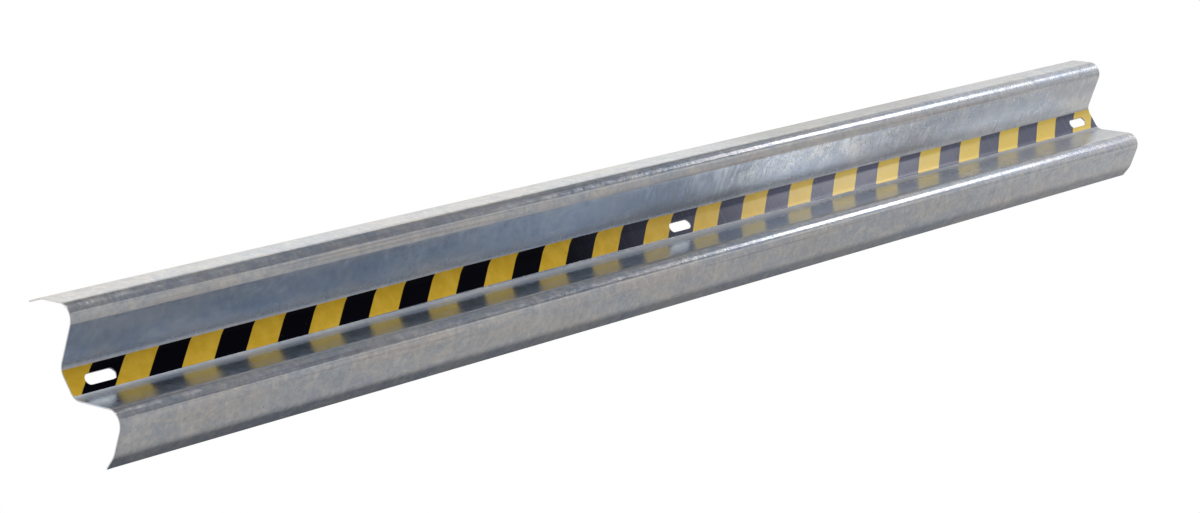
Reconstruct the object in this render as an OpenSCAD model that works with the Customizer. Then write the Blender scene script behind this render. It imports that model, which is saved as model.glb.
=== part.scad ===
/*
  Industrial guard rail: one cold-rolled, hot-dip galvanised W-section beam with a
  strip of self-adhesive hazard tape along its valley.

  Frame, in millimetres: +X runs along the beam, +Y points to the posts that the beam is
  bolted to, and +Z is up. The origin is on the flat back face of the valley, at the
  middle of the beam's length and height.
*/

/* [Beam] */
// Length of the beam, end to end
beam_length = 3200; // [1200:10:4300]
// Depth of the section, from the front of the crests to the back of the valley
section_depth = 83; // [66:1:120]
// Thickness of the steel sheet
sheet = 3; // [2:0.1:5]

/* [Section] */
// Width of the flat at the bottom of the valley
valley_flat = 29; // [23:0.5:80]
// Slope of the flanks, measured from the vertical plane of the rail
flank_angle = 55; // [45:1:66]
// Inside radius of the bends in the valley and at the crests
bend_radius = 24; // [12:1:30]
// Slope of the outer lips, measured the same way as the flanks
lip_angle = 73; // [68:1:85]
// Length of each lip, from the bend's corner to the edge of the sheet
lip_length = 31; // [24:0.5:40]
// Inside radius of the bend at each lip
lip_radius = 50; // [20:1:90]

/* [Fixing slots] */
// Number of fixing slots, evenly spaced along the valley
slot_count = 3; // [2:1:5]
// Distance from each end of the beam to the centre of its nearest slot
slot_end_distance = 70; // [50:1:300]
// Length of one slot, end to end
slot_length = 65; // [30:1:80]
// Width of one slot
slot_width = 20; // [12:0.5:28]

/* [Hazard tape] */
// Width of the tape, measured over the surface that it is stuck to
tape_width = 48; // [30:1:60]
// How far the tape's middle lies above the middle of the valley
tape_offset = 3.5; // [-6:0.5:6]
// Thickness of the tape
tape_thickness = 0.3; // [0.2:0.05:0.6]
// Distance that the tape is trimmed back from the edge of each slot
tape_trim = 0.5; // [0.1:0.1:3]

/* [Hidden] */
$fn = 360;

// The section is drawn in its own plane: x is the height above the middle of the beam,
// and y is the depth in front of the valley's back face.
outer_radius = bend_radius + sheet;
outer_lip_radius = lip_radius + sheet;
flank_depth = section_depth - sheet;

// A bend meets a straight stretch at its radius times the tangent of half its turn,
// measured from the corner that the two front faces would make.
valley_tangent = bend_radius * tan(flank_angle / 2);
crest_tangent = outer_radius * tan(flank_angle / 2);
lip_tangent = outer_lip_radius * tan((lip_angle - flank_angle) / 2);

// Heights of the front face's corners, going up, and the lengths between them
valley_corner = valley_flat / 2 + valley_tangent;
crest_height = valley_corner + flank_depth / tan(flank_angle) + crest_tangent;
outer_corner = crest_height + crest_tangent;
lip_rise = lip_length * sin(lip_angle);
lip_corner = outer_corner + (flank_depth - lip_rise) / tan(flank_angle);
inner_flank_length = flank_depth / sin(flank_angle);
outer_flank_length = (flank_depth - lip_rise) / sin(flank_angle);

// Every bend's faces stand this far off a true tangent, and its sheet runs this many
// degrees into the straights, so that the pieces cross instead of only touching.
bend_ease = 0.001;
bend_overlap = 1;

slot_spacing = (beam_length - 2 * slot_end_distance) / (slot_count - 1);

// The tape covers the valley's flat and runs up the bends, as far as they go.
tape_limit = (valley_flat / 2) + bend_radius * flank_angle * PI / 180;

// How far a cutter runs past each face of the sheet
cut_overrun = 5;

// A sector of a disc from angle a to angle b, where b - a is under 160 degrees
module sector(radius, a, b) {
    reach = 2 * radius;
    middle = (a + b) / 2;
    intersection() {
        circle(radius + bend_ease);
        polygon([[0, 0], reach * [cos(a), sin(a)],
                 reach * [cos(middle), sin(middle)], reach * [cos(b), sin(b)]]);
    }
}

// A straight stretch of sheet whose front face leaves corner at angle
module straight(corner, angle, start, end) {
    translate(corner)
        rotate(angle)
            translate([start, -sheet])
                square([end - start, sheet]);
}

// Each of the next three places its children at the centre of a bend.
module at_valley_bend() {
    translate([valley_flat / 2, outer_radius]) children();
}

module at_crest() {
    translate([crest_height, section_depth - outer_radius]) children();
}

module at_lip_bend() {
    translate([lip_corner, sheet + lip_rise])
        rotate(-flank_angle)
            translate([-lip_tangent, -outer_lip_radius])
                rotate(flank_angle)
                    children();
}

// The sheet round a bend of the given inside radius, from angle a to angle b, drawn
// about the bend's centre
module bend(radius, a, b) {
    difference() {
        sector(radius + sheet, a - bend_overlap, b + bend_overlap);
        circle(radius + bend_ease);
    }
}

// The upper half of the W, from the middle of the valley to the upper edge: the bends,
// and the straights between them, each cut by the bends that it runs into
module half_beam_section() {
    at_valley_bend() bend(bend_radius, -90, -90 + flank_angle);
    at_crest() bend(bend_radius, 90 - flank_angle, 90 + flank_angle);
    at_lip_bend() bend(lip_radius, 90 - lip_angle, 90 - flank_angle);
    difference() {
        square([valley_flat / 2, sheet]);
        at_valley_bend() circle(bend_radius + bend_ease);
    }
    difference() {
        straight([valley_corner, sheet], flank_angle,
                 valley_tangent, inner_flank_length - crest_tangent);
        at_valley_bend() circle(bend_radius + bend_ease);
        at_crest() circle(bend_radius + bend_ease);
    }
    difference() {
        straight([outer_corner, section_depth], -flank_angle,
                 crest_tangent, outer_flank_length - lip_tangent);
        at_crest() circle(bend_radius + bend_ease);
        at_lip_bend() circle(lip_radius + bend_ease);
    }
    difference() {
        straight([lip_corner, sheet + lip_rise], -lip_angle, lip_tangent, lip_length);
        at_lip_bend() circle(lip_radius + bend_ease);
    }
}

// The W-section, both halves
module beam_section() {
    half_beam_section();
    mirror([1, 0]) half_beam_section();
}

// The part of the tape's section that lies above the middle of the valley, as wide as
// reach over the front face
module half_tape_section(reach) {
    flat = min(reach, valley_flat / 2);
    wrap_angle = (min(reach, tape_limit) - flat) / bend_radius * 180 / PI;
    difference() {
        union() {
            translate([0, sheet]) square([flat, tape_thickness]);
            if (wrap_angle > 0)
                at_valley_bend()
                    sector(bend_radius, -90 - bend_overlap, -90 + wrap_angle);
        }
        at_valley_bend() circle(bend_radius - tape_thickness + bend_ease);
    }
}

// The tape's section, both sides of the middle
module tape_section() {
    half_tape_section(tape_width / 2 + tape_offset);
    mirror([1, 0]) half_tape_section(tape_width / 2 - tape_offset);
}

// Runs a section along the whole beam, standing upright with its front to -Y
module along_beam() {
    translate([-beam_length / 2, 0, 0])
        rotate([0, 90, 0])
            rotate([0, 0, 180])
                linear_extrude(beam_length)
                    children();
}

// Cutters for the round-ended slots, larger all round by grow
module slot_cutters(grow = 0) {
    radius = slot_width / 2 + grow;
    reach = slot_length / 2 - slot_width / 2;
    for (i = [0 : slot_count - 1])
        translate([(i - (slot_count - 1) / 2) * slot_spacing, cut_overrun, 0])
            rotate([90, 0, 0])
                linear_extrude(sheet + 2 * cut_overrun) {
                    square([2 * reach, 2 * radius], center = true);
                    translate([-reach, 0]) circle(radius);
                    translate([reach, 0]) circle(radius);
                }
}

module beam() {
    color("silver")
        difference() {
            along_beam() beam_section();
            slot_cutters();
        }
}

module hazard_tape() {
    color("gold")
        difference() {
            along_beam() tape_section();
            slot_cutters(tape_trim);
        }
}

beam();
hazard_tape();
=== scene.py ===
import math
from types import SimpleNamespace

import bmesh
import bpy
from mathutils import Matrix, Vector, noise


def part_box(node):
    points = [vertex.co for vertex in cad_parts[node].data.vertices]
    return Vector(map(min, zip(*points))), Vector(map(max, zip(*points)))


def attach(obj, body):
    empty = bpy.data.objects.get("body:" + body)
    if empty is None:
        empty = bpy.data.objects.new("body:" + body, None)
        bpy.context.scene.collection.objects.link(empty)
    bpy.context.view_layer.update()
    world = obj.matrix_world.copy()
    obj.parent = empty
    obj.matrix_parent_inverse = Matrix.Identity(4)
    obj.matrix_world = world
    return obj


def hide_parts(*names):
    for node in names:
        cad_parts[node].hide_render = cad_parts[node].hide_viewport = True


# A galvanised W-section guard rail with a strip of hazard tape along its valley, in the
# CAD's frame: +X along the beam, +Y to the posts and +Z up. The origin is on the valley's
# flat back face, at the middle of the length and the height.

# ---------------------------------------------------------------- sizes, in metres
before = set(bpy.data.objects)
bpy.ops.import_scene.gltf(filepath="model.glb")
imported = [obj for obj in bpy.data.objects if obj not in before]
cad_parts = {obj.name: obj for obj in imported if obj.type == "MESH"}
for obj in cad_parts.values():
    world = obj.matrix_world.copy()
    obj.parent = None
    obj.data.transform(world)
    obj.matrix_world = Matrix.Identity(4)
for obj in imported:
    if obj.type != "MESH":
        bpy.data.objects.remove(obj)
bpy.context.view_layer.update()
beam_low, beam_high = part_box("beam")

LENGTH = beam_high.x - beam_low.x
DEPTH = beam_high.y - beam_low.y
SHEET = 0.003
VALLEY_FLAT = 0.029
FLANK = math.radians(55)
LIP = math.radians(73)
LIP_LENGTH = 0.031
# Inside radius of the bends in the valley and at the crests, inside radius of the bend
# at each lip, and the outside radii of both
BEND = 0.024
LIP_BEND = 0.050
OUTER = BEND + SHEET
OUTER_LIP = LIP_BEND + SHEET

SLOT_END = 0.070
SLOT_PITCH = (LENGTH - 2 * SLOT_END) / 2
SLOT_CENTRES = [-SLOT_PITCH, 0.0, SLOT_PITCH]
SLOT_LENGTH = 0.065
SLOT_WIDTH = 0.020

TAPE_HALF = 0.024
TAPE_THICK = 0.0003
TAPE_TRIM = 0.0005
# How far the tape's back lies in front of the steel, and how much its edges are rounded
TAPE_SEAT = 0.00002
TAPE_EDGE = 0.00006
# How far the tape's middle lies above the valley's middle, as (length, rise) points: it
# was laid by hand, and bows a little
TAPE_BOW = [(-1.6, 0.0012), (-1.1, 0.0027), (-0.6, 0.0052), (-0.25, 0.0059),
            (0.2, 0.0042), (0.6, 0.0027), (1.0, 0.0016), (1.6, 0.0018)]

# How much the steel's edges are rounded
STEEL_EDGE = 0.0006
# Height of the rolled sheet's waves, and the length over which they fade at each end
WAVE = 0.00022
WAVE_FADE = 0.004

# Half the length of the mesh's zone round each slot, and the mesh's steps along the beam
ZONE = 0.042
STATION = 0.0165
# A step round the section that ends nearer than this to the edge is dropped
NEAREST_STOP = 0.0001
# Steps round half a turn at the ends of a slot
SLOT_TURNS = 16
TINY = 1e-6


# ---------------------------------------------------------------- the W-section
def half_outline():
    """The front face's upper half as (length, place at a share of the piece) pieces.

    A place is (y, z, normal y, normal z). The pieces run from the middle of the valley
    to the upper edge.
    """
    valley_tangent = BEND * math.tan(FLANK / 2)
    crest_tangent = OUTER * math.tan(FLANK / 2)
    lip_tangent = OUTER_LIP * math.tan((LIP - FLANK) / 2)
    rise = DEPTH - SHEET
    lip_rise = LIP_LENGTH * math.sin(LIP)
    valley_corner = VALLEY_FLAT / 2 + valley_tangent
    crest = valley_corner + rise / math.tan(FLANK) + crest_tangent
    outer_corner = crest + crest_tangent
    lip_corner = outer_corner + (rise - lip_rise) / math.tan(FLANK)

    def straight(z, depth, angle, start, end):
        c, s = math.cos(angle), math.sin(angle)

        def at(t):
            far = start + (end - start) * t
            return (-(depth + s * far), z + c * far, -c, -s)
        return end - start, at

    def bend(z, depth, radius, start, end):
        side = 1 if end > start else -1

        def at(t):
            a = start + (end - start) * t
            c, s = math.cos(a), math.sin(a)
            return (-(depth + radius * s), z + radius * c, side * s, -side * c)
        return abs(end - start) * radius, at

    quarter = math.pi / 2
    lip_bend_z = lip_corner - math.cos(FLANK) * lip_tangent - math.sin(FLANK) * OUTER_LIP
    lip_bend_depth = (SHEET + lip_rise + math.sin(FLANK) * lip_tangent
                      - math.cos(FLANK) * OUTER_LIP)
    return [
        straight(0, SHEET, 0, 0, VALLEY_FLAT / 2),
        bend(VALLEY_FLAT / 2, OUTER, BEND, -quarter, FLANK - quarter),
        straight(valley_corner, SHEET, FLANK, valley_tangent,
                 rise / math.sin(FLANK) - crest_tangent),
        bend(crest, DEPTH - OUTER, OUTER, quarter + FLANK, quarter - FLANK),
        straight(outer_corner, DEPTH, -FLANK, crest_tangent,
                 (rise - lip_rise) / math.sin(FLANK) - lip_tangent),
        bend(lip_bend_z, lip_bend_depth, OUTER_LIP, quarter - FLANK, quarter - LIP),
        straight(lip_corner, SHEET + lip_rise, -LIP, lip_tangent, LIP_LENGTH),
    ]


OUTLINE = half_outline()
# Steps in each of OUTLINE's pieces, and the girth at which each starts
STEPS = [4, 12, 8, 24, 6, 8, 4]
STARTS = [sum(length for length, at in OUTLINE[:i]) for i in range(len(OUTLINE) + 1)]
HALF_GIRTH = STARTS[-1]
CREST_START = STARTS[3]


def front(s):
    """The place on the beam's front face at girth s, and the normal there. Girth is 0 at
    the middle of the valley and negative below it."""
    g = min(abs(s), HALF_GIRTH)
    i = max(k for k in range(len(OUTLINE)) if STARTS[k] <= g + TINY)
    length, at = OUTLINE[i]
    y, z, ny, nz = at(min(1, (g - STARTS[i]) / length))
    side = 1 if s >= 0 else -1
    return Vector((0, y, side * z)), Vector((0, ny, side * nz))


def wave(x, s):
    """How far the rolled sheet lies in front of its nominal face. The valley lies a
    little forward, and the crests and what lies beyond them a little back, which keeps
    the sheet in the beam's box."""
    outward = math.cos(math.pi * min(abs(s) / CREST_START, 1))
    slow = noise.noise(Vector((x * 2.3, s * 5, 3.1)))
    quick = noise.noise(Vector((x * 7.0, s * 16, 8.7)))
    return WAVE * (outward + 0.75 * slow + 0.25 * quick)


def place(x, s, off):
    """The point at length x and girth s, off in front of the steel's front face."""
    p, normal = front(s)
    fade = min(1, (LENGTH / 2 - abs(x)) / WAVE_FADE)
    p = p + normal * (off + fade * wave(x, s))
    p.x = x
    return p


def girth_stops(limit):
    """Girths from -limit to limit that follow the section's pieces."""
    half = [start + length * k / steps
            for start, (length, at), steps in zip(STARTS, OUTLINE, STEPS)
            for k in range(steps)]
    half = [g for g in half if g < limit - NEAREST_STOP] + [limit]
    return [-g for g in half[:0:-1]] + half


def length_stops(rim):
    """Stations along the beam: one the rim's size short of each end, the edges of each
    slot's zone, and even steps between them."""
    marks = [-LENGTH / 2 + rim]
    for c in SLOT_CENTRES:
        marks += [c - ZONE, c + ZONE]
    marks.append(LENGTH / 2 - rim)
    out = []
    for a, b in zip(marks, marks[1:]):
        steps = max(1, round((b - a) / STATION))
        out += [a + (b - a) * k / steps for k in range(steps)]
    return out + [marks[-1]]


def bow(x):
    """The rise of the tape's middle at length x, smoothed between TAPE_BOW's points."""
    x = max(TAPE_BOW[0][0], min(TAPE_BOW[-1][0], x))
    i = max(k for k in range(len(TAPE_BOW) - 1) if TAPE_BOW[k][0] <= x)
    (a, low), (b, high) = TAPE_BOW[i:i + 2]
    t = (x - a) / (b - a)
    return low + (high - low) * t * t * (3 - 2 * t)


# ---------------------------------------------------------------- meshes
def slot_ring(vert, centre, radius, off):
    """Vertices round a slot, with the given radius at its round ends."""
    reach = (SLOT_LENGTH - SLOT_WIDTH) / 2
    ring = []
    for side in (1, -1):
        for k in range(SLOT_TURNS + 1):
            a = side * math.pi / 2 - math.pi * k / SLOT_TURNS
            ring.append(vert(centre + side * reach + radius * math.cos(a),
                             radius * math.sin(a), off))
    return ring


def bridge(bm, one, two):
    """Quads between two closed rings that have as many vertices."""
    for k in range(len(one)):
        m = (k + 1) % len(one)
        bm.faces.new((one[k], one[m], two[m], two[k]))


def fill_between(bm, outer, inner):
    """Triangles between an outline and the hole inside it."""
    edges = []
    for group in (outer, inner):
        for a, b in zip(group, group[1:] + group[:1]):
            edges.append(bm.edges.get((a, b)) or bm.edges.new((a, b)))
    bmesh.ops.triangle_fill(bm, use_beauty=True, use_dissolve=False, edges=edges)


def smooth_object(bm, name):
    """An object from a mesh whose seams are merged and whose faces are smooth."""
    bmesh.ops.remove_doubles(bm, verts=bm.verts, dist=TINY)
    bmesh.ops.dissolve_degenerate(bm, edges=bm.edges, dist=TINY / 10)
    bmesh.ops.recalc_face_normals(bm, faces=bm.faces)
    for face in bm.faces:
        face.smooth = True
    mesh = bpy.data.meshes.new(name)
    bm.to_mesh(mesh)
    bm.free()
    obj = bpy.data.objects.new(name, mesh)
    bpy.context.scene.collection.objects.link(obj)
    weighted = obj.modifiers.new("weighted normals", "WEIGHTED_NORMAL")
    weighted.weight = 50
    weighted.keep_sharp = True
    return obj


def strip_of_sheet(name, limit, top, bottom, rim, slot_grow, bowed=False):
    """A sheet that follows the W, from offset bottom to offset top, as wide as limit on
    each side of the valley's middle, with rounded edges and slots. Where it is bowed, its
    edges shift by bow(x) and its part on the flat stays."""
    bm = bmesh.new()
    layer = bm.verts.layers.float_vector.new("sheet")
    flat = VALLEY_FLAT / 2
    end = LENGTH / 2

    def vert(x, s, off):
        if bowed:
            s += bow(x) * max(0, abs(s) - flat) / (limit - flat)
        v = bm.verts.new(place(x, s, off))
        v[layer] = (x, s, (off - bottom) / (top - bottom))
        return v

    # the section as a closed loop of (girth, offset) points: up the front, round the
    # upper edge, down the back and round the lower edge
    stops = girth_stops(limit - rim)
    across = len(stops)
    # the middle of a rounded edge lies this far in from both of its faces
    round_in = 0.3 * rim
    edge = [(limit - round_in, top - round_in), (limit, top - rim),
            (limit, bottom + rim), (limit - round_in, bottom + round_in)]
    loop = ([(s, top) for s in stops] + edge + [(s, bottom) for s in reversed(stops)]
            + [(-s, off) for s, off in reversed(edge)])
    # the front's points in the loop, and the back's points opposite them
    ahead = list(range(across))
    behind = [2 * across + len(edge) - 1 - i for i in ahead]

    def ring(x, inset):
        row = []
        for s, off in loop:
            s = max(inset - limit, min(limit - inset, s))
            off = max(bottom + inset, min(top - inset, off))
            row.append(vert(x, s, off))
        return row

    # one ring at each station, and two that are drawn in at each end
    xs = length_stops(rim)
    rows = [ring(-end, rim), ring(round_in - end, round_in)]
    first = len(rows)
    rows += [ring(x, 0) for x in xs]
    rows += [ring(end - round_in, round_in), ring(end, rim)]

    # round each slot, the faces on the valley's flat are left out
    low = min(i for i, s in enumerate(stops) if s >= -flat - TINY)
    high = max(i for i, s in enumerate(stops) if s <= flat + TINY)
    zones = []
    for c in SLOT_CENTRES:
        inside = [k for k, x in enumerate(xs) if abs(x - c) < ZONE + TINY]
        zones.append((c, first + inside[0], first + inside[-1]))

    def in_zone(row, i):
        on_flat = low <= i < high or behind[high] <= i < behind[low]
        return on_flat and any(a <= row < b for c, a, b in zones)

    for r in range(len(rows) - 1):
        for i in range(len(loop)):
            if not in_zone(r, i):
                j = (i + 1) % len(loop)
                bm.faces.new((rows[r][i], rows[r][j], rows[r + 1][j], rows[r + 1][i]))
    for row, flip in ((rows[0], True), (rows[-1], False)):
        for i in ahead[:-1]:
            quad = [row[i], row[i + 1], row[behind[i + 1]], row[behind[i]]]
            bm.faces.new(quad[::-1] if flip else quad)

    # each slot's wall, and the flat round its mouths
    radius = SLOT_WIDTH / 2 + slot_grow
    for c, a, b in zones:
        rings = [slot_ring(vert, c, radius + grow, off) for grow, off in (
            (rim, top), (round_in, top - round_in), (0, top - rim),
            (0, bottom + rim), (round_in, bottom + round_in), (rim, bottom))]
        for one, two in zip(rings, rings[1:]):
            bridge(bm, one, two)
        for side, hole in ((ahead, rings[0]), (behind, rings[-1])):
            outer = [rows[r][side[low]] for r in range(a, b + 1)]
            outer += [rows[b][side[i]] for i in range(low + 1, high + 1)]
            outer += [rows[r][side[high]] for r in range(b - 1, a - 1, -1)]
            outer += [rows[a][side[i]] for i in range(high - 1, low, -1)]
            fill_between(bm, outer, hole)
    return smooth_object(bm, name)


# ---------------------------------------------------------------- node helpers
class Nodes:
    """Short calls for building a node tree."""

    def __init__(self, tree):
        self.tree = tree
        tree.nodes.clear()

    def add(self, kind, inputs=(), **props):
        node = self.tree.nodes.new(kind)
        for key, value in props.items():
            setattr(node, key, value)
        for key, value in dict(inputs).items():
            self.put(node.inputs[key], value)
        return node

    def put(self, socket, value):
        if isinstance(value, bpy.types.NodeSocket):
            self.tree.links.new(value, socket)
        else:
            socket.default_value = value

    def maths(self, operation, a, b=0.0, c=0.0):
        return self.add("ShaderNodeMath", {0: a, 1: b, 2: c}, operation=operation).outputs[0]

    def times(self, *values):
        """The product of the values."""
        product = values[0]
        for value in values[1:]:
            product = self.maths("MULTIPLY", product, value)
        return product

    def highest(self, *values):
        """The highest of the values."""
        top = values[0]
        for value in values[1:]:
            top = self.maths("MAXIMUM", top, value)
        return top

    def plus(self, value, factor, term):
        """Value times factor, plus term."""
        return self.maths("MULTIPLY_ADD", value, factor, term)

    def scaled(self, vector, scale):
        node = self.add("ShaderNodeVectorMath", {0: vector, 1: scale}, operation="MULTIPLY")
        return node.outputs["Vector"]

    def shifted(self, vector, offset):
        node = self.add("ShaderNodeVectorMath", {0: vector, 1: offset}, operation="ADD")
        return node.outputs["Vector"]

    def dot(self, vector, other):
        node = self.add("ShaderNodeVectorMath", {0: vector, 1: other},
                        operation="DOT_PRODUCT")
        return node.outputs["Value"]

    def ramp(self, value, low, high, out_low=0.0, out_high=1.0, kind="SMOOTHSTEP"):
        """From out_low where value is low to out_high where it is high, and level outside."""
        return self.add("ShaderNodeMapRange", {
            "Value": value, "From Min": low, "From Max": high,
            "To Min": out_low, "To Max": out_high}, interpolation_type=kind).outputs["Result"]

    def band(self, value, start, full, fade, end, after=0.0):
        """1 while value is between full and fade, 0 before start, and after past end."""
        return self.times(self.ramp(value, start, full), self.ramp(value, end, fade, after))

    def mix(self, factor, a, b):
        """The colour a where factor is 0, and b where it is 1."""
        node = self.add("ShaderNodeMix", data_type="RGBA")
        self.put(node.inputs[0], factor)
        self.put(node.inputs[6], a)
        self.put(node.inputs[7], b)
        return node.outputs[2]

    def noise(self, where, scale, detail=2.0, rough=0.5, distortion=0.0):
        return self.add("ShaderNodeTexNoise", {
            "Vector": where, "Scale": scale, "Detail": detail, "Roughness": rough,
            "Distortion": distortion}).outputs["Fac"]

    def relief(self, height, strength, distance):
        return self.add("ShaderNodeBump", {"Height": height, "Strength": strength,
                                           "Distance": distance}).outputs["Normal"]

    def surface(self, inputs):
        """The material's output, from a Principled shader with the given inputs."""
        shader = self.add("ShaderNodeBsdfPrincipled", inputs)
        self.add("ShaderNodeOutputMaterial", {"Surface": shader.outputs[0]})


def rgb(r, g, b):
    """An opaque colour."""
    return (r, g, b, 1.0)


def new_material(name):
    material = bpy.data.materials.new(name)
    material.use_nodes = True
    return material, Nodes(material.node_tree)


def sheet_place(n):
    """Where a shaded point lies: solid is its place in metres, and sheet its place on the
    sheet, as length, girth, and a front that is 1 on the front face and 0 on the back."""
    sheet = n.add("ShaderNodeAttribute", attribute_name="sheet").outputs["Vector"]
    parts = n.add("ShaderNodeSeparateXYZ", {"Vector": sheet}).outputs
    return SimpleNamespace(
        solid=n.add("ShaderNodeTexCoord").outputs["Object"], sheet=sheet,
        length=parts["X"], girth=parts["Y"], front=parts["Z"],
        away=n.maths("ABSOLUTE", parts["Y"]))


# ---------------------------------------------------------------- galvanised steel
CREAM = rgb(0.86, 0.82, 0.75)
SLATE = rgb(0.36, 0.41, 0.50)


def steel_patterns(n, at):
    """The noises that the steel's colour, roughness and relief share."""
    return SimpleNamespace(
        clouds=n.noise(n.scaled(at.solid, (0.35, 1.0, 1.0)), 11.0, 3.0, 0.55),
        bloom_and_highlight=n.noise(n.scaled(at.solid, (0.8, 1.0, 1.0)), 17.0, 5.0, 0.62, 0.7),
        blotch=n.noise(at.solid, 52.0, 4.0, 0.62, 0.8),
        stain=n.noise(n.shifted(at.solid, (3.7, 1.3, 0.4)), 36.0, 5.0, 0.6, 0.4),
        mottle=n.noise(at.solid, 150.0, 3.0, 0.62, 0.4),
        fine=n.noise(at.solid, 420.0, 2.0, 0.5),
        runs=n.noise(n.scaled(at.sheet, (60.0, 7.0, 1.0)), 1.0, 3.0, 0.6),
        reflection_streaks=n.noise(n.scaled(at.sheet, (1.6, 210.0, 1.0)), 1.0, 3.0, 0.55),
        strokes=n.noise(n.scaled(at.sheet, (95.0, 24.0, 1.0)), 1.0, 4.0, 0.6))


def zinc_colour(n, at, by, weathered):
    """Cool and warm clouds of zinc, with cream and slate blotches where it has weathered."""
    bluish = n.mix(n.ramp(at.length, -0.4, 0.4), rgb(0.47, 0.545, 0.655),
                   rgb(0.52, 0.545, 0.575))
    cool = n.mix(weathered, bluish, rgb(0.49, 0.56, 0.65))
    warm = n.mix(weathered, rgb(0.58, 0.59, 0.605), rgb(0.64, 0.64, 0.635))
    colour = n.mix(n.ramp(by.clouds, 0.34, 0.66), cool, warm)
    for pattern, low, high, most, tone in (
            (by.blotch, 0.42, 0.66, 0.50, CREAM), (by.stain, 0.48, 0.70, 0.45, SLATE),
            (by.mottle, 0.42, 0.66, 0.26, CREAM), (by.mottle, 0.50, 0.34, 0.22, SLATE)):
        share = n.times(n.ramp(pattern, low, high, 0.0, most), weathered)
        colour = n.mix(share, colour, tone)
    colour = n.mix(n.ramp(by.bloom_and_highlight, 0.58, 0.68, 0.0, 0.3), colour, rgb(0.90, 0.89, 0.84))
    return n.mix(n.ramp(by.runs, 0.55, 0.8, 0.0, 0.25), colour, rgb(0.80, 0.81, 0.82))


def painted_shade_upper_flank(n, at, colour):
    """Painted shade: the upper inner flank is darker, on both sides of the painted highlight
    patch.
    """
    flank_shade = n.highest(n.times(n.band(at.length, -0.40, -0.05, 0.16, 0.32), 0.72),
                       n.times(n.band(at.length, 0.40, 0.62, 0.80, 1.25), 0.5))
    upper = n.times(n.band(at.girth, 0.026, 0.040, 0.098, 0.118), at.front)
    return n.mix(n.times(flank_shade, upper), colour, rgb(0.27, 0.245, 0.225))


def painted_highlight_patch(n, at, by):
    """How far the painted highlight, a pale patch, covers a point of the upper inner flank.
    """
    here = n.times(n.band(at.length, -0.02, 0.30, 0.46, 0.80, after=0.18),
                   n.band(at.girth, 0.045, 0.078, 0.10, 0.122), at.front)
    return n.times(here, n.ramp(n.maths("ADD", by.strokes, by.bloom_and_highlight), 0.86, 1.10))


def painted_bright_foot(n, at):
    """Painted reflection: the foot of the upper inner flank is paler towards the right end.
    """
    return n.times(n.band(at.girth, 0.026, 0.036, 0.055, 0.095),
                   n.ramp(at.length, 0.85, 1.15), at.front, 0.6)


def painted_shade_lip(n, at):
    """Painted shade: the upper lip and the flank just below it darken to a warm grey, most of
    all right of the middle.
    """
    most = n.band(at.length, 0.12, 0.34, 0.88, 1.12)
    lip = n.times(n.ramp(at.girth, 0.185, 0.222), n.plus(most, 0.50, 0.10))
    flank = n.times(most, n.ramp(at.girth, 0.148, 0.165, 0.0, 0.22))
    return n.times(n.highest(lip, flank), at.front)


def corner_darkening(n, at):
    """Darker in the valley's corners, beside the tape: most below it, and to the left."""
    return n.times(n.band(at.away, 0.020, 0.024, 0.026, 0.058),
                   n.ramp(at.girth, 0.01, -0.01, 0.4, 1.0),
                   n.ramp(at.length, 0.05, 0.70, 1.0, 0.3), at.front)


def add_spangle(n, at, colour):
    """The zinc's crystals, each with its own tone, and a few dark pits."""
    crystal = n.add("ShaderNodeTexVoronoi", {"Vector": at.solid, "Scale": 95.0})
    tone = n.add("ShaderNodeSeparateColor", {"Color": crystal.outputs["Color"]}).outputs[0]
    colour = n.mix(n.ramp(tone, 0.0, 1.0, 0.0, 0.18, kind="LINEAR"), colour, SLATE)
    pits = n.add("ShaderNodeTexVoronoi", {"Vector": at.solid, "Scale": 46.0})
    pick = n.add("ShaderNodeSeparateColor", {"Color": pits.outputs["Color"]}).outputs[1]
    speck = n.times(n.ramp(pits.outputs["Distance"], 0.09, 0.04),
                    n.maths("GREATER_THAN", pick, 0.84))
    return n.mix(n.times(speck, 0.65), colour, rgb(0.08, 0.08, 0.09))


def steel_roughness(n, at, by, patch, over_crest):
    """Smoother over the crests, rougher in stains and towards the right end."""
    rough = n.plus(by.clouds, 0.18, 0.03)
    rough = n.plus(by.blotch, 0.18, rough)
    rough = n.plus(patch, 0.08, rough)
    rough = n.times(rough, n.plus(over_crest, -0.30, 1.0))
    rough = n.maths("ADD", rough, n.ramp(at.length, 0.5, 1.2, 0.0, 0.10))
    stains = n.times(over_crest, n.ramp(by.stain, 0.45, 0.60, 0.0, 0.07))
    return n.maths("ADD", rough, stains)


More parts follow.
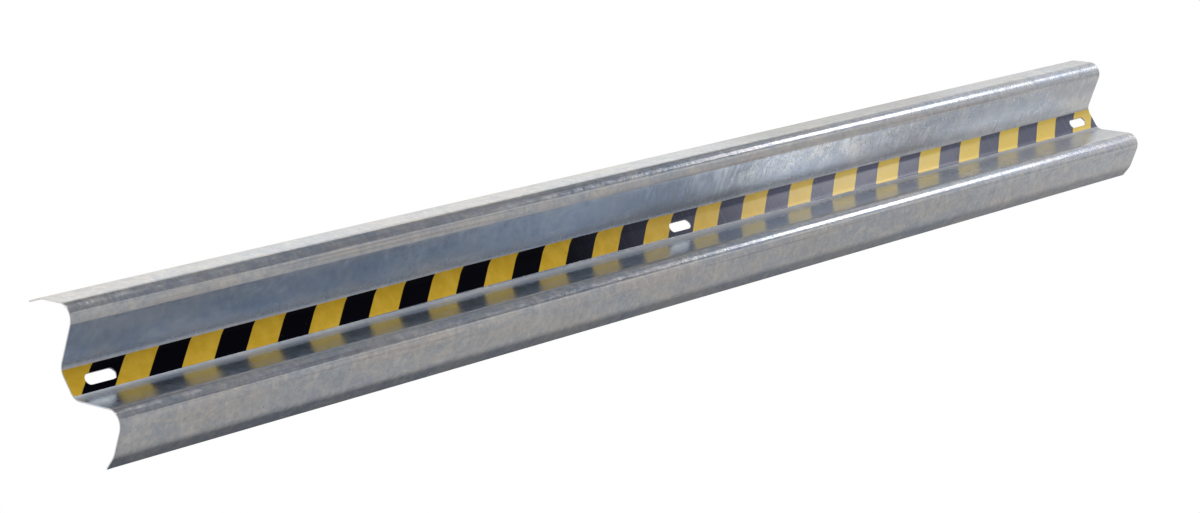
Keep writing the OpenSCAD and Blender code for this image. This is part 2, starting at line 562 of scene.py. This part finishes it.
def steel_material():
    material, n = new_material("galvanised steel")
    at = sheet_place(n)
    by = steel_patterns(n, at)
    # the crests and the outer flanks have weathered more than the inner ones
    weathered = n.ramp(at.away, 0.095, 0.125, 0.35, 1.0)
    colour = zinc_colour(n, at, by, weathered)

    # painted reflection: dark pinkish streaks along the sheet, over the crests
    over_crest = n.band(at.away, 0.09, 0.115, 0.15, 0.175)
    painted_reflection_lines = n.times(n.ramp(by.reflection_streaks, 0.52, 0.66, 0.0, 0.5), over_crest)
    colour = n.mix(painted_reflection_lines, colour, rgb(0.36, 0.29, 0.285))

    # painted shade: darker bands on the upper inner flank
    colour = painted_shade_upper_flank(n, at, colour)
    # a painted highlight: a pale patch on the upper inner flank, which is also rougher
    patch = painted_highlight_patch(n, at, by)
    colour = n.mix(patch, colour, rgb(0.98, 0.945, 0.86))
    # painted reflection: the foot of the upper inner flank is paler towards the right end
    colour = n.mix(painted_bright_foot(n, at), colour, rgb(0.93, 0.95, 0.96))
    # painted shade on the upper lip, which also dims its specular tint
    lip = painted_shade_lip(n, at)
    colour = n.mix(lip, colour, rgb(0.35, 0.325, 0.28))

    # faint strokes and clouds, clearest on the inner flanks
    smear = n.times(n.ramp(by.strokes, 0.42, 0.64, 0.0, 0.45),
                    n.maths("SUBTRACT", 1.35, weathered))
    smeared = n.mix(n.ramp(by.bloom_and_highlight, 0.44, 0.58), rgb(0.40, 0.44, 0.50),
                    rgb(0.74, 0.73, 0.70))
    colour = n.mix(smear, colour, smeared)

    # darker, less metallic and rougher in the valley's corners beside the tape
    corner = corner_darkening(n, at)
    colour = n.mix(n.times(corner, 0.6), colour, rgb(0.29, 0.325, 0.375))

    # the lower inner flank is bluer than the others, mostly towards the left end: a painted
    # reflection of a bluish tint. It also carries a thin film of dust
    lower = n.times(n.band(at.girth, -0.030, -0.045, -0.098, -0.118), at.front)
    colour = n.mix(n.times(lower, n.ramp(at.length, 0.1, 0.9, 0.46, 0.12)), colour,
                   rgb(0.33, 0.50, 0.73))
    film = n.times(lower, n.ramp(at.length, -0.7, 0.1, 0.03, 0.16),
                   n.ramp(at.length, 0.5, 1.1, 1.0, 0.45))

    colour = add_spangle(n, at, colour)
    # painted light: the back is paler than the front, standing in for light that doesn't
    # reach it
    colour = n.mix(n.plus(at.front, -0.55, 0.55), colour, rgb(0.86, 0.865, 0.87))

    rough = steel_roughness(n, at, by, patch, over_crest)
    n.surface({
        "Base Color": colour,
        "Metallic": n.maths("SUBTRACT", n.plus(corner, -0.45, 0.96), film),
        "Roughness": n.plus(corner, 0.20, rough),
        "Specular Tint": n.mix(lip, rgb(1, 1, 1), rgb(0.20, 0.19, 0.16)),
        "Normal": n.relief(n.plus(by.fine, 0.18, by.mottle), 0.25, 0.0006)})
    return material


# ---------------------------------------------------------------- hazard tape
# How many stripes lie between the left end's yellow one and a point of the tape, as a
# cubic in the point's length less its girth: the tape was stretched a little unevenly
# when it was laid
STRIPES = (20.42, 12.523, -0.2509, 0.0689)
BLACK = rgb(0.0012, 0.0012, 0.0035)


def yellow_share(n, at):
    """1 on a yellow stripe and 0 on a black one."""
    lean = n.maths("SUBTRACT", at.length, at.girth)
    count = STRIPES[-1]
    for part in reversed(STRIPES[:-1]):
        count = n.plus(lean, count, part)
    turn = n.maths("FRACT", n.plus(count, 0.5, 0.25))
    # 0 in the middle of a black stripe, 0.5 in the middle of a yellow one
    swing = n.maths("ABSOLUTE", n.maths("SUBTRACT", turn, 0.5))
    return n.ramp(swing, 0.246, 0.254)


def tape_scratches(n, at):
    """Hairline scratches, leaning, mostly right of the beam's middle."""
    leaning = n.add("ShaderNodeMapping", {
        "Vector": n.scaled(at.sheet, (1.0, 0.55, 1.0)), "Rotation": (0.0, 0.0, 0.9),
        "Scale": (420.0, 9.0, 1.0)}).outputs[0]
    return n.times(n.ramp(n.noise(leaning, 1.0, 2.0, 0.5), 0.60, 0.72),
                   n.ramp(at.length, -0.5, 0.35))


def tape_material():
    material, n = new_material("hazard tape")
    at = sheet_place(n)
    is_yellow = yellow_share(n, at)
    worn = n.noise(at.solid, 30.0, 3.0, 0.6)
    yellow = n.mix(n.ramp(worn, 0.3, 0.7), rgb(0.61, 0.38, 0.028), rgb(0.70, 0.455, 0.050))
    # painted light: the yellow is brighter towards the right end
    yellow = n.mix(n.ramp(at.length, -0.3, 0.9, 0.0, 0.75), yellow, rgb(0.98, 0.70, 0.035))
    colour = n.mix(is_yellow, BLACK, yellow)

    hair = tape_scratches(n, at)
    colour = n.mix(n.times(hair, 0.22), colour, rgb(0.34, 0.34, 0.36))
    # dust and a painted bluish sheen, most of it right of the middle, and more of it seen
    # on the black
    dust_and_sheen = n.times(n.ramp(at.length, -0.45, 0.55), n.ramp(at.length, 0.55, 1.30, 1.25, 1.0))
    colour = n.mix(n.times(dust_and_sheen, n.plus(is_yellow, -0.08, 0.13)), colour,
                   rgb(0.46, 0.52, 0.95))
    # a few dark scuffs
    nicks = n.noise(n.scaled(at.sheet, (110.0, 150.0, 1.0)), 1.0, 3.0, 0.6)
    nicked = n.noise(at.sheet, 4.0, 1.0, 0.5)
    scuffs = n.times(n.ramp(nicks, 0.66, 0.72), n.ramp(nicked, 0.52, 0.60), 0.8)
    colour = n.mix(scuffs, colour, rgb(0.03, 0.03, 0.03))

    n.surface({
        "Base Color": colour,
        "Metallic": 0.0,
        "Roughness": n.plus(hair, 0.2, n.plus(worn, 0.10, 0.12)),
        "Specular IOR Level": n.plus(dust_and_sheen, 0.43, 0.03),
        "Normal": n.relief(n.noise(at.solid, 260.0, 2.0, 0.5), 0.15, 0.0002)})
    return material


# ---------------------------------------------------------------- the object
beam = strip_of_sheet("w_beam", HALF_GIRTH, 0.0, -SHEET, STEEL_EDGE, 0.0)
beam.data.materials.append(steel_material())
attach(beam, "root")
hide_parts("beam")

tape = strip_of_sheet("tape", TAPE_HALF, TAPE_THICK, TAPE_SEAT, TAPE_EDGE, TAPE_TRIM,
                      bowed=True)
tape.data.materials.append(tape_material())
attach(tape, "root")
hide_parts("hazard_tape")


# ---------------------------------------------------------------- camera
CAMERA_AT = (-4.71377, -3.79747, -1.09018)
# The camera's heading, from +Y towards +X, its rise above level, and its roll
HEADING = math.radians(49.5387)
RISE = math.radians(10.3769)
ROLL = math.radians(-26.6719)

camera = bpy.data.objects.new("camera", bpy.data.cameras.new("camera"))
bpy.context.scene.collection.objects.link(camera)
camera.matrix_world = (Matrix.Translation(CAMERA_AT)
                       @ Matrix.Rotation(-HEADING, 4, "Z")
                       @ Matrix.Rotation(math.pi / 2 + RISE, 4, "X")
                       @ Matrix.Rotation(ROLL, 4, "Z"))
camera.data.sensor_width = 36.0
camera.data.lens = 91.388
camera.data.clip_start = 0.1
camera.data.clip_end = 300
bpy.context.scene.camera = camera


# ---------------------------------------------------------------- floor and light
FLOOR_Z = -1.45
FLOOR_HALF = 60.0


def floor_material():
    """Pale, with a painted shadow: a darker band close behind the rail, greyest towards
    the left, and a painted pool of light past the rail's right end. The camera sees it
    lit up almost to white, and from below it is clear."""
    material, n = new_material("floor")
    spot = n.add("ShaderNodeTexCoord").outputs["Object"]
    parts = n.add("ShaderNodeSeparateXYZ", {"Vector": spot}).outputs
    length, depth = parts["X"], parts["Y"]
    # painted shadow: a darker band behind the rail, greyest towards the left
    behind = n.band(depth, 0.0, 1.3, 2.5, 4.5)
    grey = n.mix(n.ramp(length, -0.5, 4.5), rgb(0.12, 0.13, 0.15), rgb(0.26, 0.27, 0.29))
    # a painted pool of light: palest past the rail's right end
    past = n.times(n.ramp(length, 2.4, 4.4), n.ramp(depth, -1.5, -0.7))
    pale = n.mix(n.highest(past, n.ramp(length, 5.5, 6.9)), rgb(0.50, 0.49, 0.48),
                 rgb(0.80, 0.79, 0.78))
    diffuse = n.add("ShaderNodeBsdfDiffuse", {"Color": n.mix(behind, pale, grey)})
    glow = n.add("ShaderNodeEmission", {
        "Color": rgb(1, 1, 1), "Strength": n.ramp(behind, 0.0, 1.0, 0.65, 0.92, "LINEAR")})
    path = n.add("ShaderNodeLightPath").outputs
    lit = n.add("ShaderNodeAddShader", {0: diffuse.outputs[0], 1: glow.outputs[0]})
    seen = n.add("ShaderNodeMixShader", {0: path["Is Camera Ray"],
                                         1: diffuse.outputs[0], 2: lit.outputs[0]})
    clear = n.add("ShaderNodeBsdfTransparent")
    below = n.add("ShaderNodeNewGeometry").outputs["Backfacing"]
    both = n.add("ShaderNodeMixShader", {0: below, 1: seen.outputs[0], 2: clear.outputs[0]})
    n.add("ShaderNodeOutputMaterial", {"Surface": both.outputs[0]})
    return material


def make_floor():
    half, z = FLOOR_HALF, FLOOR_Z
    corners = [(-half, -half, z), (half, -half, z), (half, half, z), (-half, half, z)]
    mesh = bpy.data.meshes.new("floor")
    mesh.from_pydata(corners, [], [(0, 1, 2, 3)])
    mesh.materials.append(floor_material())
    obj = bpy.data.objects.new("floor", mesh)
    bpy.context.scene.collection.objects.link(obj)


def make_world():
    """A dim studio with pale walls and a pale ceiling, which the camera sees as white."""
    world = bpy.data.worlds.new("studio")
    bpy.context.scene.world = world
    world.use_nodes = True
    n = Nodes(world.node_tree)
    way = n.add("ShaderNodeTexCoord").outputs["Generated"]
    beside = n.dot(way, (1.0, 0.0, 0.0))
    # how far a direction's part across the beam agrees with two fixed ones
    across = n.maths("SQRT", n.maths("SUBTRACT", 1.0001, n.times(beside, beside)))
    above = n.maths("DIVIDE", n.dot(way, (0.0, 0.59, 0.807)), across)
    rear = n.maths("DIVIDE", n.dot(way, (0.0, 0.95, 0.31)), across)
    level = n.highest(n.ramp(beside, 0.15, 0.50, 0.75, 0.26),
                      n.ramp(beside, 0.765, 0.86, 0.26, 1.0),
                      n.ramp(above, 0.73, 0.95), n.ramp(rear, 0.83, 0.91))
    tint = n.mix(n.ramp(beside, 0.2, 0.55), rgb(0.985, 0.98, 1.035), rgb(0.945, 0.97, 1.06))
    colour = n.mix(n.ramp(above, 0.5, 0.8), tint, rgb(1.0, 0.975, 0.94))
    soft = n.add("ShaderNodeBackground", {"Color": colour, "Strength": level})
    white = n.add("ShaderNodeBackground", {"Color": rgb(1, 1, 1), "Strength": 1.0})
    path = n.add("ShaderNodeLightPath").outputs
    seen = n.highest(path["Is Camera Ray"], path["Is Transmission Ray"])
    both = n.add("ShaderNodeMixShader", {0: seen, 1: soft.outputs[0], 2: white.outputs[0]})
    n.add("ShaderNodeOutputWorld", {"Surface": both.outputs[0]})


def softbox(name, at, aim, width, height, radiance, colour, up=(0, 0, 1)):
    """A rectangular lamp at one point, turned to another, whose face has the given
    radiance."""
    light = bpy.data.lights.new(name, "AREA")
    light.shape = "RECTANGLE"
    light.size = width
    light.size_y = height
    light.energy = radiance * math.pi * width * height
    light.color = colour
    obj = bpy.data.objects.new(name, light)
    behind = (Vector(at) - Vector(aim)).normalized()
    side = Vector(up).cross(behind).normalized()
    obj.matrix_world = Matrix((side, behind.cross(side), behind)).transposed().to_4x4()
    obj.location = at
    bpy.context.scene.collection.objects.link(obj)


make_floor()
make_world()
softbox("window", at=(8.75, -5.25, 2.8), aim=(0.7, 0, 0), width=1.2, height=2.8,
        radiance=3.5, colour=(1.0, 0.99, 0.98), up=(0, 0.53, 0.85))
softbox("key", at=(1.2, -4.8, 4.7), aim=(0.2, 0, 0), width=1.6, height=2.4,
        radiance=12.5, colour=(1.0, 0.98, 0.95))
bpy.context.scene.view_settings.view_transform = "Standard"
